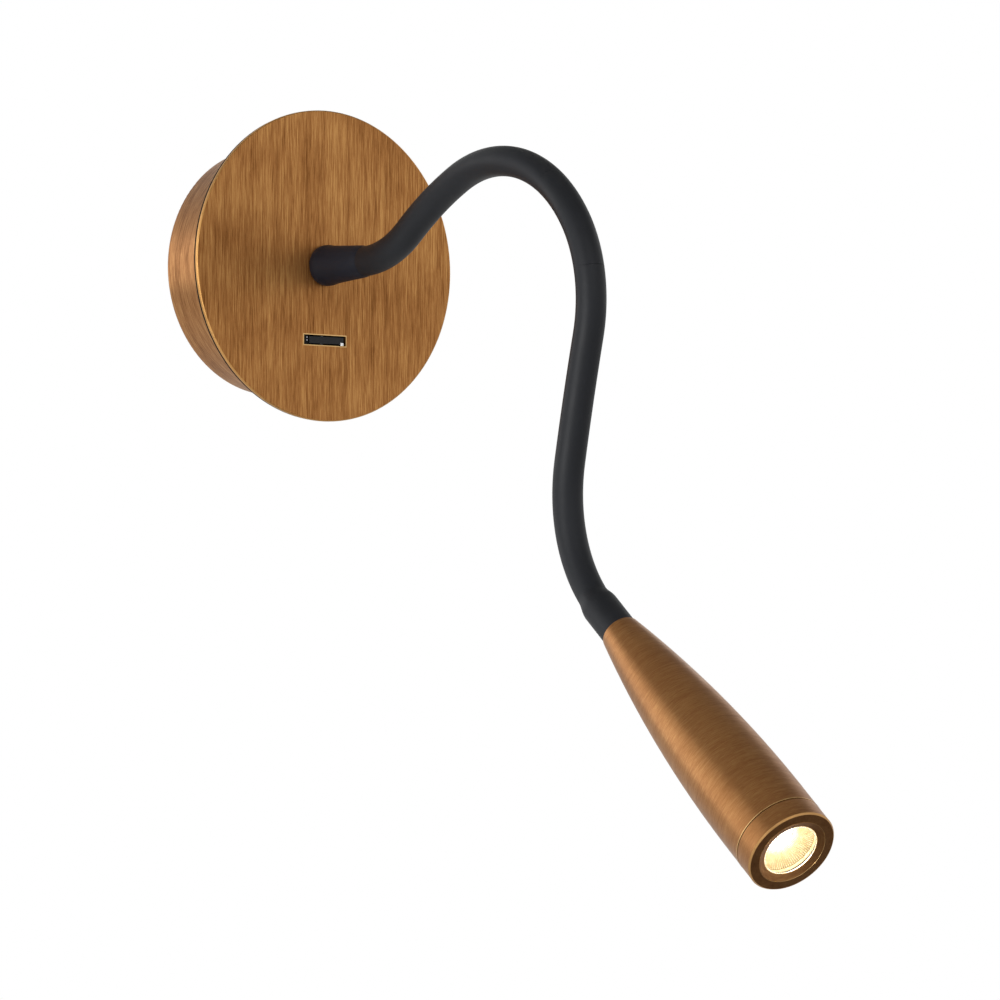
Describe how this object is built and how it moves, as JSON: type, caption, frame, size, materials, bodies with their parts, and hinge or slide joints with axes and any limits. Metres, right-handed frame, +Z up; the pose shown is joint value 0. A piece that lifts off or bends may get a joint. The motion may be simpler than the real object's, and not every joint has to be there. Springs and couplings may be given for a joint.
{
  "type": "bedside wall reading lamp",
  "caption": "Wall reading lamp: a flexible black gooseneck carries a slim tapered head; the round brass base has a rocker switch and holds the driver.",
  "frame": {"origin": "on the wall face, at the axis of the round cup", "axes": "+Z up, the wall is the plane Y = 0 and the lamp stands out towards -Y, +X to the right seen from the front"},
  "size_m": [0.1, 0.2817, 0.2531],
  "materials": {
    "cup": "antique brass, brushed round the axis",
    "plate": "antique brass, brushed straight",
    "black_steel": "matt black",
    "black_rubber": "matt silicone",
    "switch_plastic": "fine matt",
    "zinc_steel": "zinc plated",
    "spring_steel": "bright spiral steel",
    "white_plastic": "moulded",
    "foam": "adhesive foam",
    "circuit_board": "solder resist",
    "block_plastic": "moulded nylon",
    "brass_screw": "turned",
    "copper_blade": "stamped",
    "blue_wire": "extruded",
    "brown_wire": "extruded",
    "green_yellow_wire": "extruded",
    "cable_sheath": "extruded",
    "clear_lens": "clear, frosted back",
    "mirror_metal": "vapour coated",
    "aluminium": "as turned",
    "phosphor": "yellow phosphor",
    "nickel": "nickel plated"
  },
  "bodies": {
    "wall_unit": {"base_cup": "cup", "cable_grommet": "black_rubber", "front_plate": "plate", "carrier_plate": "black_steel", "grub_screws": "zinc_steel", "switch_body": "switch_plastic", "switch_pin": "zinc_steel", "switch_terminals": "copper_blade", "driver_pad": "foam", "driver_case": "white_plastic", "driver_lid": "white_plastic", "driver_board": "circuit_board", "terminal_block": "block_plastic", "terminal_screws": "brass_screw", "earth_screw": "brass_screw", "neutral_lead": "blue_wire", "switch_leads": "brown_wire", "earth_lead": "green_yellow_wire", "root_fitting": "nickel", "root_washer": "zinc_steel", "root_nut": "nickel", "root_collar": "black_rubber", "sleeve_root": "black_rubber", "hose_root": "spring_steel", "cable_root": "cable_sheath"},
    "rocker": {"switch_rocker": "switch_plastic"},
    "link_1": {"sleeve_1": "black_rubber", "hose_1": "spring_steel", "cable_1": "cable_sheath"},
    "link_2": {"sleeve_2": "black_rubber", "hose_2": "spring_steel", "cable_2": "cable_sheath"},
    "link_3": {"sleeve_3": "black_rubber", "hose_3": "spring_steel", "cable_3": "cable_sheath"},
    "link_4": {"sleeve_4": "black_rubber", "hose_4": "spring_steel", "cable_4": "cable_sheath"},
    "link_5": {"sleeve_5": "black_rubber", "hose_5": "spring_steel", "cable_5": "cable_sheath"},
    "link_6": {"sleeve_6": "black_rubber", "hose_6": "spring_steel", "cable_6": "cable_sheath"},
    "head": {"sleeve_head": "black_rubber", "hose_head": "spring_steel", "cable_head": "cable_sheath", "head_fitting": "nickel", "head_shell": "cup", "head_bezel": "cup", "lens": "clear_lens", "lens_gasket": "black_rubber", "reflector": "mirror_metal", "led_board": "aluminium", "led_emitter": "phosphor", "heat_sink": "aluminium", "board_screws": "zinc_steel"}
  },
  "joints": [
    {"name": "arm_root_lift", "type": "hinge", "parent": "wall_unit", "child": "link_1", "pos_m": [0, -0.07062, 0.00394], "axis": [1, 0, 0], "range_deg": [-18, 6]},
    {"name": "arm_root_swing", "type": "hinge", "parent": "link_1", "child": "link_2", "pos_m": [0, -0.10114, 0.02167], "axis": [0, 0.4077, 0.9131], "range_deg": [-30, 30]},
    {"name": "arm_middle_lift", "type": "hinge", "parent": "link_2", "child": "link_3", "pos_m": [0, -0.13563, 0.02519], "axis": [1, 0, 0], "range_deg": [-36, 12]},
    {"name": "arm_middle_swing", "type": "hinge", "parent": "link_3", "child": "link_4", "pos_m": [0, -0.16442, 0.00589], "axis": [0, -0.8058, 0.5921], "range_deg": [-30, 30]},
    {"name": "head_tilt_upper", "type": "hinge", "parent": "link_4", "child": "link_5", "pos_m": [0, -0.17213, -0.02761], "axis": [1, 0, 0], "range_deg": [-2.8, 12.25]},
    {"name": "head_swing", "type": "hinge", "parent": "link_5", "child": "link_6", "pos_m": [0, -0.16375, -0.06196], "axis": [0, -0.9759, -0.2181], "range_deg": [-30, 30]},
    {"name": "head_tilt", "type": "hinge", "parent": "link_6", "child": "head", "pos_m": [0, -0.16435, -0.09664], "axis": [1, 0, 0], "range_deg": [-8, 35]},
    {"name": "switch_rock", "type": "hinge", "parent": "wall_unit", "child": "rocker", "pos_m": [0.00095, -0.0281, -0.024], "axis": [0, 0, 1], "range_deg": [0, 12]}
  ],
  "couplings": [
    {"joint": "arm_root_lift", "follows": "arm_middle_lift", "ratio": 0.5},
    {"joint": "arm_middle_swing", "follows": "arm_root_swing", "ratio": 1},
    {"joint": "head_tilt_upper", "follows": "head_tilt", "ratio": 0.35}
  ]
}
